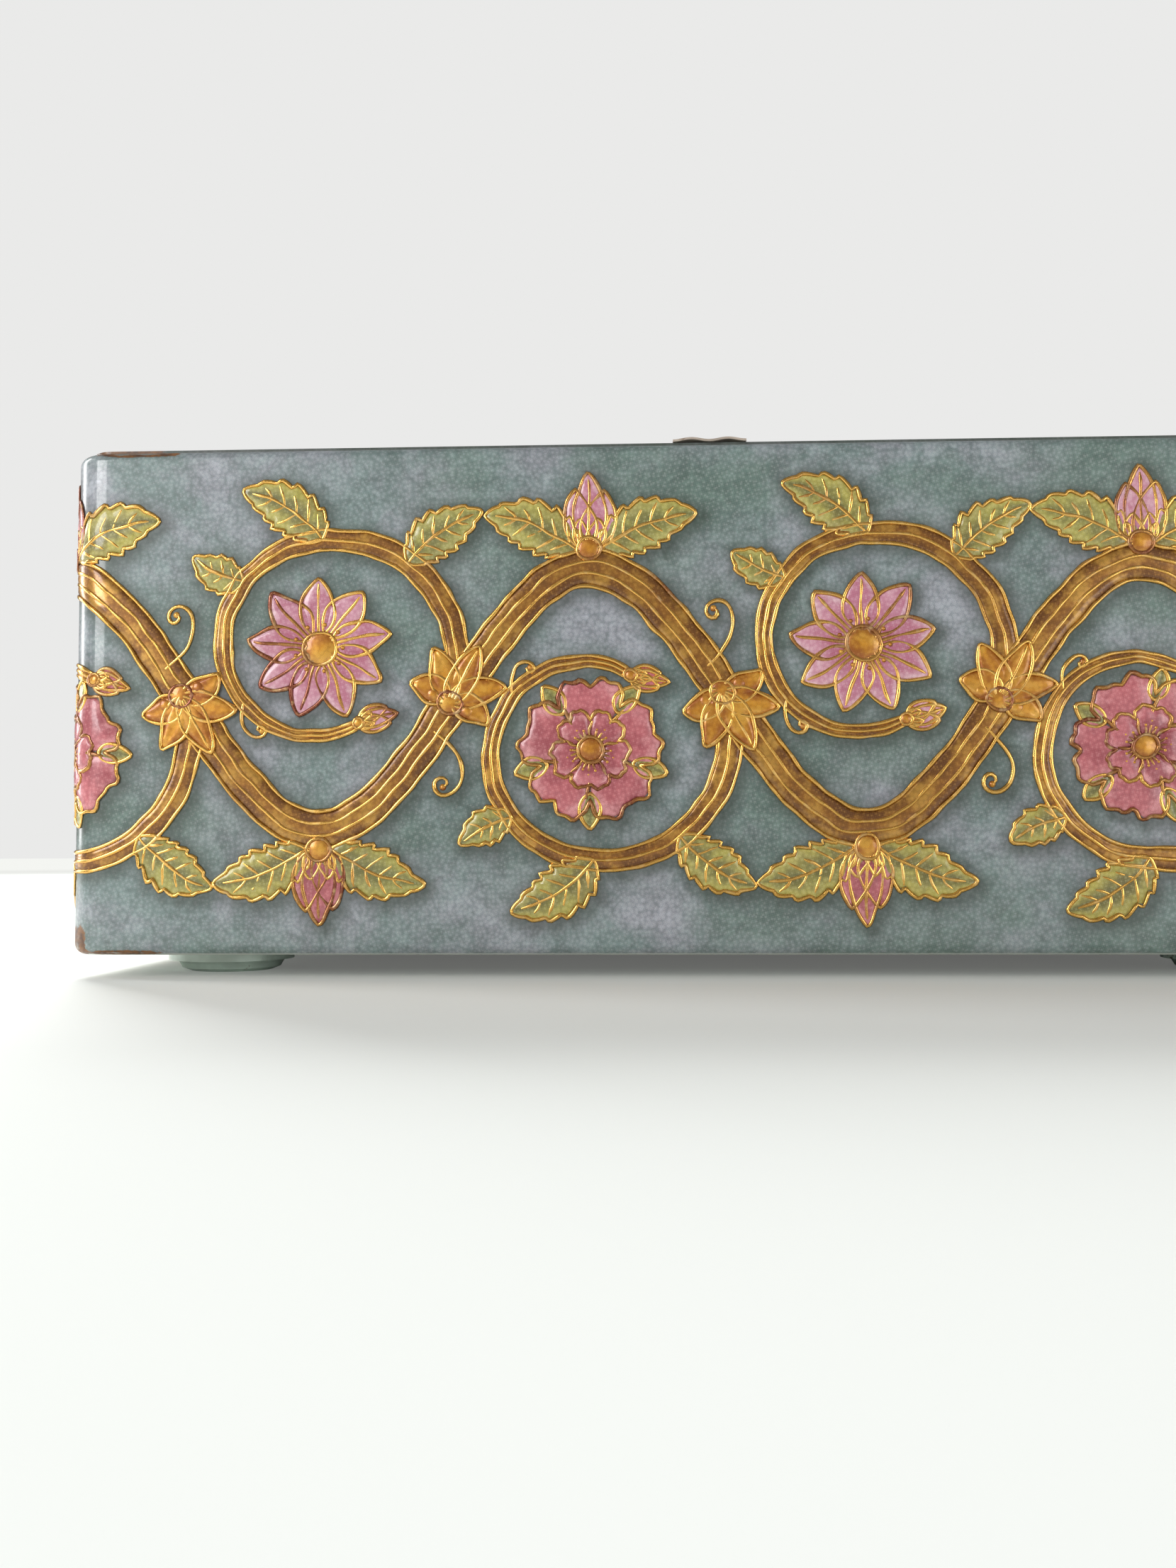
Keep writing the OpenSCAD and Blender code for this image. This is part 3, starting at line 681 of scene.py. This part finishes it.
@cache
def wall_drawings():
    """One drawing for each coil of the vine that runs round the box in waves."""
    pitch = wall_runs()[3] / WAVES
    rose_radius, scroll = size_of("rose_radius"), size_of("scroll_width")
    eye = (0.0, -7.0)

    def stem(t):
        a = (t - 0.5) * pitch / 2
        return a, VINE_SWAY * cos(tau * a / pitch)

    def spiral(t, lean=0):
        return radians(20 - 318 * t + lean)

    def branch(t):
        return out_from(eye, 19.6 - 3.0 * min(1, t * 3) - 5.2 * t, spiral(t))

    drawings = []
    for coil in range(2 * WAVES):
        side = 1 if coil % 2 == 0 else -1
        crown, tip = ("aster", "rose") if side > 0 else ("rose", "aster")
        across = (coil - 0.5) * pitch / 2
        art = Drawing(lambda a, b, across=across, side=side: (across + a, VINE_LEVEL + side * b),
                      40 + coil)
        for heading, bend in ((2.48, 0.60), (0.66, -0.60)):
            draw_leaf(art, (2.0 * cos(heading), VINE_SWAY + 2.5), heading, 14.0, 6.8, bend)
        draw_bud(art, (0.0, VINE_SWAY + 2.6), pi / 2, 10.5, crown)
        draw_leaf(art, branch(0.34), spiral(0.34, -40), 13.5, 6.6, -0.7)
        draw_leaf(art, branch(0.50), radians(192), 8.0, 4.8, 0.5, 5)
        draw_leaf(art, branch(0.20), radians(-52), 12.5, 6.2, 0.6)
        draw_tendril(art, (pitch / 4 - 3.0, 4.2), radians(38), 14.0, 1)
        draw_tendril(art, branch(0.74), radians(100), 8.0, -1)
        draw_band(art, branch, 84, lambda t: scroll * (0.72 - 0.46 * t), (0.0, 0.5, 1.0))
        draw_band(art, stem, 53, lambda t: scroll, (0.0, 0.34, 0.66, 1.0), 0.9)
        draw_bud(art, branch(1.0), spiral(1.0, -75), 5.4, tip)
        draw_husk(art, (pitch / 4 - 0.6, 0.6), radians(-62), 8.4)
        if side > 0:
            draw_rose(art, eye, rose_radius, radians(90) + 0.2 * coil)
        else:
            draw_aster(art, eye, rose_radius, radians(90) + 0.3 * coil)
        drawings.append(art)
    return drawings


@cache
def lid_drawings():
    """A ruled frame on the lid's raised field, with a spray in each corner and one at each end."""
    low, high = box_of("lid_panel")
    ruled = Drawing(lambda a, b: (a, b), 7)
    for inset, radius in ((13.5, 4.0), (15.2, 2.6)):
        x, y = high[0] - inset - radius, (high[1] - low[1]) / 2 - inset - radius
        ruled.stroke("scroll", [out_from((sx * x, sy * y), radius, (quarter + i / 6) * pi / 2)
                                for quarter, (sx, sy) in enumerate(QUARTERS) for i in range(7)], closed=True)
    drawings = [ruled]
    for number, (sx, sy) in enumerate(QUARTERS):
        art = Drawing(lambda a, b, sx=sx, sy=sy: (sx * (66 - a), sy * (34.5 - b)), 60 + number)
        draw_leaf(art, (5.5, 1.5), 0.02, 12.0, 5.4, 0.35)
        draw_leaf(art, (1.5, 5.5), pi / 2 - 0.02, 12.0, 5.4, -0.35)
        draw_leaf(art, (4.4, 4.4), pi / 4, 9.5, 4.8, 0.2)
        draw_tendril(art, (6.0, 4.0), 0.5, 11.0, -1)
        draw_tendril(art, (4.0, 6.0), pi / 2 - 0.5, 11.0, 1)
        draw_rose(art, (0.8, 0.8), 6.0, 0.4 * number)
        drawings.append(art)
    for number, sx in enumerate((1, -1)):
        art = Drawing(lambda a, b, sx=sx: (sx * (58 + a), b), 80 + number)
        for side in (1, -1):
            draw_leaf(art, (0, side * 5.0), side * 1.35, 14.0, 6.2, side * 0.4)
            draw_leaf(art, (2.5, side * 4.4), side * 0.65, 9.0, 4.8, side * 0.4)
            draw_bud(art, (-3.0, side * 4.8), side * 2.1, 7.5, "rose")
        draw_aster(art, (0.0, 0.0), 7.6, 0.3)
        drawings.append(art)
    return drawings


# --- wrapping

def on_wall(across, up, out):
    """The place on the box of a flat point that stands out from the wall, in metres."""
    low, high = box_of("body_wall")
    corner, bend, roll = size_of("corner"), size_of("bottom_bend"), size_of("roll")
    base, roll_start = low[2], high[2] - low[2] - roll
    if up < bend:
        angle = min((bend - up) / bend, pi / 2)
        inset, z = bend - (bend + out) * cos(angle), base + bend - (bend + out) * sin(angle)
        inset += max(0, bend - up - bend * pi / 2)
    elif up > roll_start:
        angle = (up - roll_start) / roll
        inset, z = roll - (roll + out) * cos(angle), base + roll_start + (roll + out) * sin(angle)
    else:
        inset, z = -out, base + up
    long_run, short_run, arc, around = wall_runs()
    walk = (across + long_run / 2) % around
    for turn in range(4):
        run, other = (short_run, long_run) if turn % 2 else (long_run, short_run)
        if walk < run + arc:
            break
        walk -= run + arc
    if walk <= run:
        x, y = walk - run / 2, -(other / 2 + corner - inset)
    else:
        angle = (walk - run) / corner
        x = run / 2 + (corner - inset) * sin(angle)
        y = -other / 2 - (corner - inset) * cos(angle)
    for _ in range(turn):
        x, y = -y, x
    middle = Vector(((low[0] + high[0]) / 2, (low[1] + high[1]) / 2, 0))
    return (Vector((x, y, z)) + middle) * MM


def on_lid(across, up, out):
    """The place on the lid's raised field of a flat point, in metres."""
    top = box_of("lid_panel")[1][2]
    return Vector((across, up, top + out)) * MM


def linked(name, data):
    """A new object in the scene."""
    thing = bpy.data.objects.new(name, data)
    bpy.context.scene.collection.objects.link(thing)
    return thing


def mesh_of(name, bm):
    """The mesh that a bmesh has built."""
    mesh = bpy.data.meshes.new(name)
    bm.to_mesh(mesh)
    bm.free()
    return mesh


def add_layers(bm, *names):
    """Number layers on the vertices, which the finishes read as attributes."""
    return [bm.verts.layers.float.new(name) for name in names]


def add_piece(name, bm, finish, body, thickness=0.0):
    """Finishes a piece, lets it ride on a body and, if it is a skin, gives it thickness."""
    mesh = mesh_of(name, bm)
    piece = linked(name, mesh)
    mesh.materials.append(finish)
    mesh.polygons.foreach_set("use_smooth", [True] * len(mesh.polygons))
    if thickness:
        shell = piece.modifiers.new("Thickness", "SOLIDIFY")
        shell.thickness = thickness * MM
        shell.offset = -1
    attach(piece, body)


def flat_uv(bm, wrap):
    """Keeps the flat place of every vertex as the print's UV map, then wraps the mesh."""
    layer = bm.loops.layers.uv.new("print")
    for face in bm.faces:
        for loop in face.loops:
            loop[layer].uv = loop.vert.co.xy * MM
    for vert in bm.verts:
        vert.co = wrap(*vert.co)


def build_patches(name, patches, wrap, finish, body):
    """Domed patches as one piece of thin embossed sheet."""
    rise, level = size_of("emboss"), size_of("print_height")
    bm = bmesh.new()
    reach, middle, chance = add_layers(bm, *PARTS)
    for patch in patches:
        made = bmesh.ops.create_grid(bm, x_segments=patch.columns, y_segments=patch.rows, size=0.5)
        for vert in made["verts"]:
            s, t = vert.co.x + 0.5, vert.co.y + 0.5
            border = min(s, 1 - s, t, 1 - t) < 1e-4
            across, up = patch.place(s, t)
            vert.co = across, up, SUNK_EDGE if border else level + patch.lift + rise * patch.height(s, t)
            vert[reach], vert[middle], vert[chance] = t, abs(2 * s - 1), patch.chance
    bm.normal_update()
    bmesh.ops.reverse_faces(bm, faces=[face for face in bm.faces if face.normal.z < 0])
    flat_uv(bm, wrap)
    add_piece(name, bm, finish, body, 0.05)


def build_strokes(name, strokes, wrap, finish, body):
    """Raised lines as one piece, swept as curves in the flat and then wrapped."""
    curve = bpy.data.curves.new(name, "CURVE")
    curve.dimensions = "3D"
    curve.bevel_depth = size_of("outline")
    curve.bevel_resolution = 1
    curve.use_fill_caps = True
    for stroke in strokes:
        spline = curve.splines.new("POLY")
        spline.points.add(len(stroke.points) - 1)
        level = stroke.lift / LINE_SQUASH
        spline.points.foreach_set("co", [n for x, y in stroke.points for n in (x, y, level, 1)])
        spline.use_cyclic_u = stroke.closed
        spline.points.foreach_set("radius", [1 + 0.42 * noise.noise((x * 0.45, y * 0.45, 5.0))
                                             for x, y in stroke.points])
        if not stroke.closed:
            for i, width in ((0, 0.45), (1, 0.8), (-2, 0.8), (-1, 0.45)):
                spline.points[i].radius = width
    swept = linked(name, curve)
    tubes = bpy.data.meshes.new_from_object(swept.evaluated_get(bpy.context.evaluated_depsgraph_get()))
    bm = bmesh.new()
    bm.from_mesh(tubes)
    bpy.data.objects.remove(swept)
    bpy.data.curves.remove(curve)
    bpy.data.meshes.remove(tubes)
    bmesh.ops.scale(bm, vec=(1, 1, LINE_SQUASH), verts=bm.verts)
    bmesh.ops.translate(bm, vec=(0, 0, LINE_LEVEL), verts=bm.verts)
    for layer in list(bm.loops.layers.uv.values()):
        bm.loops.layers.uv.remove(layer)
    flat_uv(bm, wrap)
    bmesh.ops.recalc_face_normals(bm, faces=bm.faces)
    add_piece(name, bm, finish, body)


def build_domes(name, domes, wrap, finish, body):
    """Bosses and beads as one piece."""
    bm = bmesh.new()
    _, middle, _ = add_layers(bm, *PARTS)
    for dome in domes:
        segments = 8 if dome.radius > 0.8 else 4
        made = bmesh.ops.create_uvsphere(bm, u_segments=2 * segments, v_segments=segments, radius=1)
        crown = min(BEAD_CROWN, size_of("emboss") * dome.height * 0.7)
        for vert in made["verts"]:
            x, y, z = vert.co
            vert[middle] = hypot(x, y)
            vert.co = (dome.centre[0] + x * dome.radius, dome.centre[1] + y * dome.radius,
                       dome.lift + z * crown)
    flat_uv(bm, wrap)
    bmesh.ops.recalc_face_normals(bm, faces=bm.faces)
    add_piece(name, bm, finish, body)


def artwork_places():
    """The drawings of the wall's front and back and of the lid, each with its wrap and body."""
    front, back = [], []
    for coil, art in enumerate(wall_drawings()):
        (front if coil in FRONT_COILS else back).append(art)
    return (("front", front, on_wall, "box"), ("back", back, on_wall, "box"),
            ("lid", lid_drawings(), on_lid, "lid"))


def build_artwork(inks, golds):
    """Builds the patches and outlines of some kinds on both halves of the wall and on the lid."""
    for place, drawings, wrap, body in artwork_places():
        for kind, ink in inks.items():
            patches = [p for d in drawings for p in d.patches if p.kind == kind]
            if patches:
                build_patches(f"{kind}_{place}", patches, wrap, ink, body)
        for kind, gold in golds.items():
            strokes = [s for d in drawings for s in d.strokes if s.kind == kind]
            if strokes:
                build_strokes(f"{kind}_outlines_{place}", strokes, wrap, gold, body)


# --- operators

class LUNCHBOX_OT_studio(bpy.types.Operator):
    """Set the pale floor, the soft lamps and the camera"""
    bl_idname = "lunch_box.studio"
    bl_label = "Studio"

    def execute(self, context):
        studio = context.scene.lunch_box_studio
        lens = bpy.data.cameras.new("camera")
        lens.lens = studio.lens
        lens.clip_start = 0.005
        camera = linked("camera", lens)
        camera.matrix_world = (Matrix.Translation(studio.camera) @ Matrix.Rotation(-studio.turn, 4, "Z")
                               @ Matrix.Rotation(pi / 2 + studio.tilt, 4, "X")
                               @ Matrix.Rotation(studio.roll, 4, "Z"))
        context.scene.camera = camera
        for name, power, wide, tall, place in (
                ("key", studio.key, 0.5, 0.5, (-0.75, -0.95, 0.42)),
                ("fill", studio.fill, 0.8, 0.3, (0.75, -0.85, 0.16)),
                ("window", studio.window, 0.30, 0.8, (-0.98, 0.18, 0.40)),
                ("sun", studio.sun, 0.4, 0.4, (-0.50, 0.72, 0.66))):
            lamp = bpy.data.lights.new(name, "AREA")
            lamp.shape = "RECTANGLE"
            lamp.energy = power
            lamp.size, lamp.size_y = wide, tall
            holder = linked(name, lamp)
            holder.location = place
            holder.visible_camera = False
            holder.visible_glossy = name != "sun"
            holder.rotation_euler = (Vector((0, 0, 0.04)) - Vector(place)).to_track_quat("-Z", "Y").to_euler()
        self.add_floor()
        self.add_sky(context, studio.sky)
        context.scene.view_settings.view_transform = "Standard"
        return {"FINISHED"}

    def add_floor(self):
        bm = bmesh.new()
        bmesh.ops.create_circle(bm, cap_ends=True, segments=96, radius=6)
        floor = linked("floor", mesh_of("floor", bm))
        finish = Finish(bpy.data.materials.new("pale_floor"))
        tone = finish.mix(finish.noise(6, 3), srgb(236, 240, 236), srgb(242, 245, 242))
        matt = finish.node("BsdfDiffuse", {"Color": tone})
        glow = finish.node("Emission", {"Color": srgb(249, 250, 246), "Strength": 1.0})
        seen = finish.node("LightPath", output="Is Camera Ray")
        far = finish.node("VectorMath", {0: finish.place}, "Value", operation="LENGTH")
        shader = finish.node("MixShader", {0: seen * far.ramp(0.5, 1.6, 0.13, 0.95), 1: matt, 2: glow})
        finish.node("OutputMaterial", {"Surface": shader})
        floor.data.materials.append(finish.owner)

    def add_sky(self, context, strength):
        finish = Finish(bpy.data.worlds.new("studio"))
        seen, through = (finish.node("LightPath", output=f"Is {ray} Ray")
                         for ray in ("Camera", "Transmission"))
        light = finish.node("Background", {"Color": (1.0, 0.99, 0.975), "Strength": strength})
        white = finish.node("Background", {"Color": srgb(234, 234, 233), "Strength": 1.0})
        shader = finish.node("MixShader", {0: seen.most(through), 1: light, 2: white})
        finish.node("OutputWorld", {"Surface": shader})
        context.scene.world = finish.owner


class LUNCHBOX_OT_metal(bpy.types.Operator):
    """Give every piece of the frame its sheet, wire or lacquer finish"""
    bl_idname = "lunch_box.metal"
    bl_label = "Sheet, wire and rivets"

    def execute(self, context):
        for names, finish in (
                ("body_wall", tinplate("inner_tinplate", 0.75)),
                ("lid_panel", printed_ground("printed_lid", False)),
                ("lid_liner", tinplate("liner_tinplate", 0.0)),
                ("base_panel", lacquered_sheet("base_lacquer", "lacquer")),
                ("lift_tab", lacquered_sheet("tab_lacquer", "taupe")),
                # painted light: the feet's paler colour brightens them where they stand in the box's shade
                ("foot_front_left foot_front_right foot_rear_left foot_rear_right",
                 lacquered_sheet("foot_lacquer", "foot")),
                ("rim_wire", drawn_wire("rim_steel", 0.0)),
                ("bail_handle", drawn_wire("handle_steel", 0.0)),
                ("foot_rivets hinge_rivets ear_rivets", drawn_wire("tinned_rivets", 0.15)),
                ("hinge_strap_left hinge_strap_right", tinplate("strap_tinplate", 0.4)),
                ("ear_left ear_right", tinplate("ear_tinplate", 0.5)),
                ("ear_washers", tinplate("washer_tinplate", 0.1))):
            for node in (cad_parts[name] for name in names.split()):
                for place in node.material_slots:
                    place.material = finish
                if not node.material_slots:
                    node.data.materials.append(finish)
        return {"FINISHED"}


class LUNCHBOX_OT_scrolls(bpy.types.Operator):
    """Emboss the ochre scrolls, husks and beads"""
    bl_idname = "lunch_box.scrolls"
    bl_label = "Scrolls and husks"

    def execute(self, context):
        inks = {"scroll": ochre_ink("scroll_ink", False), "husk": ochre_ink("husk_ink", True)}
        build_artwork(inks, {"scroll": outline_gold("scroll_gold", 0.54, 0.80)})
        for place, drawings, wrap, body in artwork_places():
            domes = [dome for art in drawings for dome in art.domes]
            if domes:
                build_domes(f"beads_{place}", domes, wrap, inks["husk"], body)
        return {"FINISHED"}


class LUNCHBOX_OT_leaves(bpy.types.Operator):
    """Emboss the olive leaves"""
    bl_idname = "lunch_box.leaves"
    bl_label = "Leaves"

    def execute(self, context):
        build_artwork({"leaf": leaf_ink("leaf_ink")}, {"leaf": outline_gold("leaf_gold", 0.54, 0.80)})
        return {"FINISHED"}


class LUNCHBOX_OT_flowers(bpy.types.Operator):
    """Emboss the roses, asters and buds"""
    bl_idname = "lunch_box.flowers"
    bl_label = "Flowers"

    def execute(self, context):
        inks = {"rose": petal_ink("rose_petal", False), "aster": petal_ink("aster_petal", True)}
        build_artwork(inks, {"flower": outline_gold("flower_gold", 0.40, 0.62)})
        return {"FINISHED"}


class LUNCHBOX_OT_printed_wall(bpy.types.Operator):
    """Wrap the printed ground round the wall"""
    bl_idname = "lunch_box.printed_wall"
    bl_label = "Printed wall"

    def execute(self, context):
        around = wall_runs()[3]
        near = self.nearest_art(around)
        for place, start in (("front", -around / 4), ("back", around / 4)):
            self.build_half(place, start, around / 2, near)
        return {"FINISHED"}

    def nearest_art(self, around):
        """A tree of the artwork's lines, with copies past both ends of the strip."""
        points = [point for art in wall_drawings() for stroke in art.strokes
                  for point in stroke.points[::2]]
        tree = kdtree.KDTree(3 * len(points))
        for shift in (-around, 0, around):
            for across, up in points:
                tree.insert((across + shift, up, 0), 0)
        tree.balance()
        return tree

    def build_half(self, place, start, length, near):
        rows = self.rows()
        last = len(rows) - 1
        bm = bmesh.new()
        bmesh.ops.create_grid(bm, x_segments=SKIN_COLUMNS, y_segments=last, size=0.5)
        for vert in bm.verts:
            vert.co = (start + (vert.co.x + 0.5) * length, rows[round((vert.co.y + 0.5) * last)],
                       size_of("print_height"))
        self.cut_hinge_gaps(bm)
        halo, scuff = add_layers(bm, "halo", "scuff")
        for vert in bm.verts:
            across, up, _ = vert.co
            # painted shadow: nearness to artwork up and to the left of this point, against a weaker printed
            # halo from artwork on any side
            shade = near.find((across - PAINTED_SHADOW_SHIFT, up + PAINTED_SHADOW_SHIFT, 0))[2]
            distance = min(shade, near.find((across, up, 0))[2] + 0.5)
            vert[halo] = exp(-(distance / HALO_AND_SHADOW_REACH) ** 2)
            vert[scuff] = self.wear(across, up, rows[-1])
        flat_uv(bm, on_wall)
        bmesh.ops.recalc_face_normals(bm, faces=bm.faces)
        for edge in bm.edges:
            edge.smooth = not edge.is_boundary
        add_piece("printed_skin_" + place, bm, printed_ground("printed_ground", True), "box",
                  0.02)

    def rows(self):
        """Heights of the skin's rows, close together where it follows the bend and the roll."""
        def spread(start, end, count):
            return [start + (end - start) * i / count for i in range(count)]
        low, high = box_of("body_wall")
        bend, roll, height = size_of("bottom_bend"), size_of("roll"), high[2] - low[2]
        roll_start, top = height - roll, height + 0.9 * roll
        return (spread(bend * (1 - pi / 2), bend, BEND_ROWS) + spread(bend, roll_start, WALL_ROWS)
                + spread(roll_start, top, BEND_ROWS) + [top])

    def cut_hinge_gaps(self, bm):
        """Opens the skin where the hinge straps pass through the rim."""
        long_run, short_run, arc, _ = wall_runs()
        back = long_run / 2 + arc + short_run + arc + long_run / 2
        cut = size_of("hinge_cut") - box_of("body_wall")[0][2]
        half = size_of("hinge_gap") / 2
        for side in (-1, 1):
            middle = back + side * size_of("hinge_place")
            for plane, normal in (((middle - half, 0, 0), (1, 0, 0)), ((middle + half, 0, 0), (1, 0, 0)),
                                  ((0, cut, 0), (0, 1, 0))):
                near = [f for f in bm.faces if abs(f.calc_center_median().x - middle) < half + 3]
                parts = set(near) | {e for f in near for e in f.edges} | {v for f in near for v in f.verts}
                bmesh.ops.bisect_plane(bm, geom=list(parts), plane_co=plane, plane_no=normal)
            gone = [f for f in bm.faces if abs(f.calc_center_median().x - middle) < half
                    and f.calc_center_median().y > cut]
            bmesh.ops.delete(bm, geom=gone, context="FACES")

    def wear(self, across, up, top):
        """How far the print is rubbed: at the rim, the bottom bend, the corners and three old knocks."""
        long_run, _, arc, around = wall_runs()
        half = long_run / 2 + arc / 2
        walk = (across + around / 2) % around - around / 2
        wears = [0.46 * exp(-(up + 0.9) / 0.5), 0.44 * exp(-abs(top - 1.0 - up) / 0.5)]
        for spot in (-half, half, around / 2 - half, half - around / 2):
            gap = abs(walk - spot)
            ends = exp(-(up + 0.8) / 2.2) + exp(-abs(top - 1.0 - up) / 0.9)
            wears.append(0.22 * exp(-(gap / 1.6) ** 2) + 0.55 * exp(-(gap / 3.5) ** 2) * ends)
        for spot, height, wide, tall, depth in ((8.5, top - 1.3, 7.0, 1.0, 0.95), (7.0, 0.1, 6.5, 0.8, 0.85),
                                                (-0.2, 1.2, 2.4, 4.4, 0.88)):
            wears.append(depth * exp(-((walk - spot + half) / wide) ** 4 - ((up - height) / tall) ** 2))
        return max(wears)


class LUNCHBOX_PT_panel(bpy.types.Panel):
    """Lists the steps that dress the lunch box"""
    bl_idname = "LUNCHBOX_PT_panel"
    bl_label = "Printed lunch box"
    bl_space_type = "VIEW_3D"
    bl_region_type = "UI"
    bl_category = "Lunch Box"

    def draw(self, context):
        for step in STEPS:
            self.layout.operator(step.bl_idname)
        for group in ("lunch_box_sizes", "lunch_box_colours", "lunch_box_studio"):
            settings = getattr(context.scene, group)
            column = self.layout.column()
            for name in settings.__annotations__:
                column.prop(settings, name)


STEPS = (LUNCHBOX_OT_studio, LUNCHBOX_OT_metal, LUNCHBOX_OT_printed_wall, LUNCHBOX_OT_scrolls,
         LUNCHBOX_OT_leaves, LUNCHBOX_OT_flowers)
GROUPS = {"lunch_box_sizes": LunchBoxSizes, "lunch_box_colours": LunchBoxColours,
          "lunch_box_studio": LunchBoxStudio}


def register():
    for kind in (*GROUPS.values(), *STEPS, LUNCHBOX_PT_panel):
        bpy.utils.register_class(kind)
    for name, kind in GROUPS.items():
        setattr(bpy.types.Scene, name, PointerProperty(type=kind))


def unregister():
    for name in GROUPS:
        delattr(bpy.types.Scene, name)
    for kind in (LUNCHBOX_PT_panel, *reversed(STEPS), *reversed(GROUPS.values())):
        bpy.utils.unregister_class(kind)


def main():
    register()
    bpy.ops.lunch_box.studio()
    bpy.ops.lunch_box.metal()
    bpy.ops.lunch_box.printed_wall()
    bpy.ops.lunch_box.scrolls()
    bpy.ops.lunch_box.leaves()
    bpy.ops.lunch_box.flowers()


if __name__ == "__main__":
    main()
